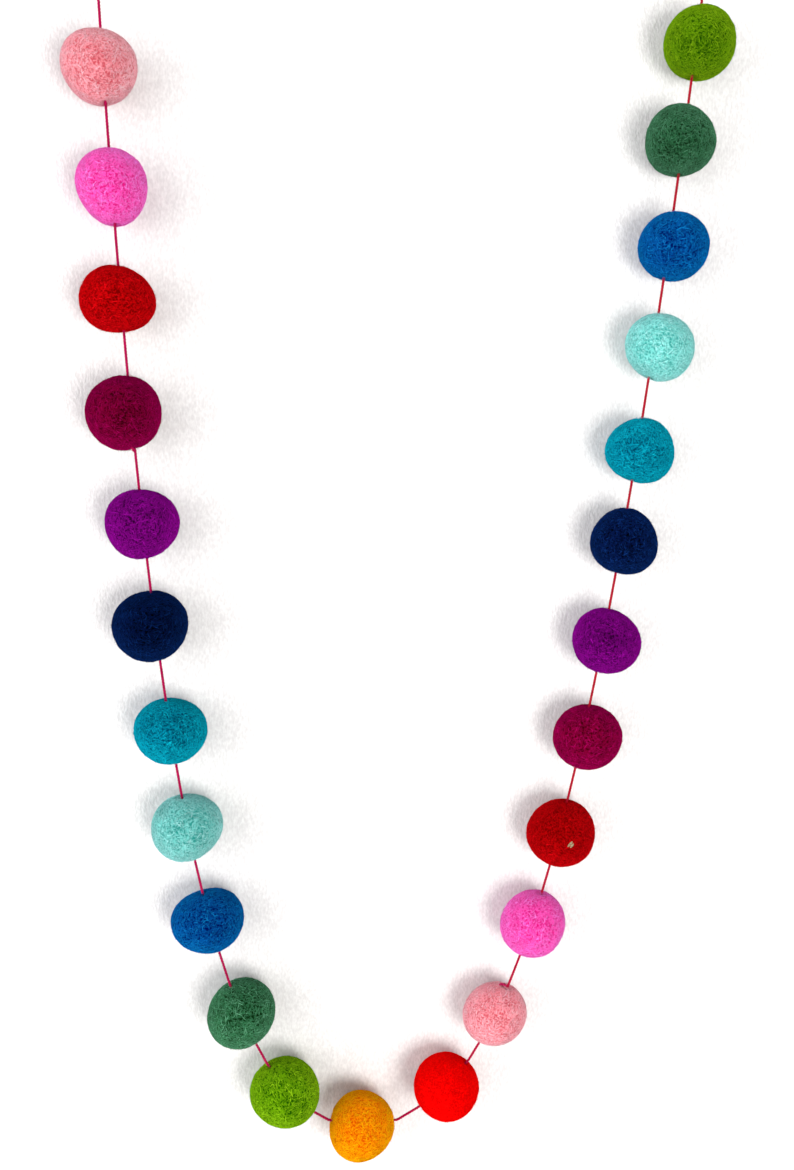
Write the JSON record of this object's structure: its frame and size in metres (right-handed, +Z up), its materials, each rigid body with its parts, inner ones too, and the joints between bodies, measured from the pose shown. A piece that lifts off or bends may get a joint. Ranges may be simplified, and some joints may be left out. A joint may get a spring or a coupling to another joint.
{
  "type": "felt ball garland",
  "caption": "Garland of round wool felt balls in a repeating run of colours, threaded on one twisted string that hangs in a deep curve from a knotted loop at each end.",
  "frame": {"origin": "where the left hanging loop bears on its nail, in the plane of the string", "axes": "+X from the left nail to the right one, level; +Z up; +Y into the wall that the backs of the balls lie against"},
  "size_m": [0.2332, 0.0261, 0.4806],
  "materials": {
    "wool_light_pink": "matte wool felt",
    "wool_bright_pink": "matte wool felt",
    "wool_red": "matte wool felt",
    "wool_burgundy": "matte wool felt",
    "wool_purple": "matte wool felt",
    "wool_navy": "matte wool felt",
    "wool_teal": "matte wool felt",
    "wool_aqua": "matte wool felt",
    "wool_blue": "matte wool felt",
    "wool_dark_green": "matte wool felt",
    "wool_lime": "matte wool felt",
    "wool_orange": "matte wool felt",
    "wool_scarlet": "matte wool felt",
    "string": "soft twisted yarn"
  },
  "bodies": {
    "root": {"ball_01_light_pink": "wool_light_pink", "ball_02_bright_pink": "wool_bright_pink", "ball_03_red": "wool_red", "ball_04_burgundy": "wool_burgundy", "ball_05_purple": "wool_purple", "ball_06_navy": "wool_navy", "ball_07_teal": "wool_teal", "ball_08_aqua": "wool_aqua", "ball_09_blue": "wool_blue", "ball_10_dark_green": "wool_dark_green", "ball_11_lime": "wool_lime", "ball_12_orange": "wool_orange", "ball_13_scarlet": "wool_scarlet", "ball_14_light_pink": "wool_light_pink", "ball_15_bright_pink": "wool_bright_pink", "ball_16_red": "wool_red", "ball_17_burgundy": "wool_burgundy", "ball_18_purple": "wool_purple", "ball_19_navy": "wool_navy", "ball_20_teal": "wool_teal", "ball_21_aqua": "wool_aqua", "ball_22_blue": "wool_blue", "ball_23_dark_green": "wool_dark_green", "ball_24_lime": "wool_lime", "string": "string"}
  },
  "joints": []
}
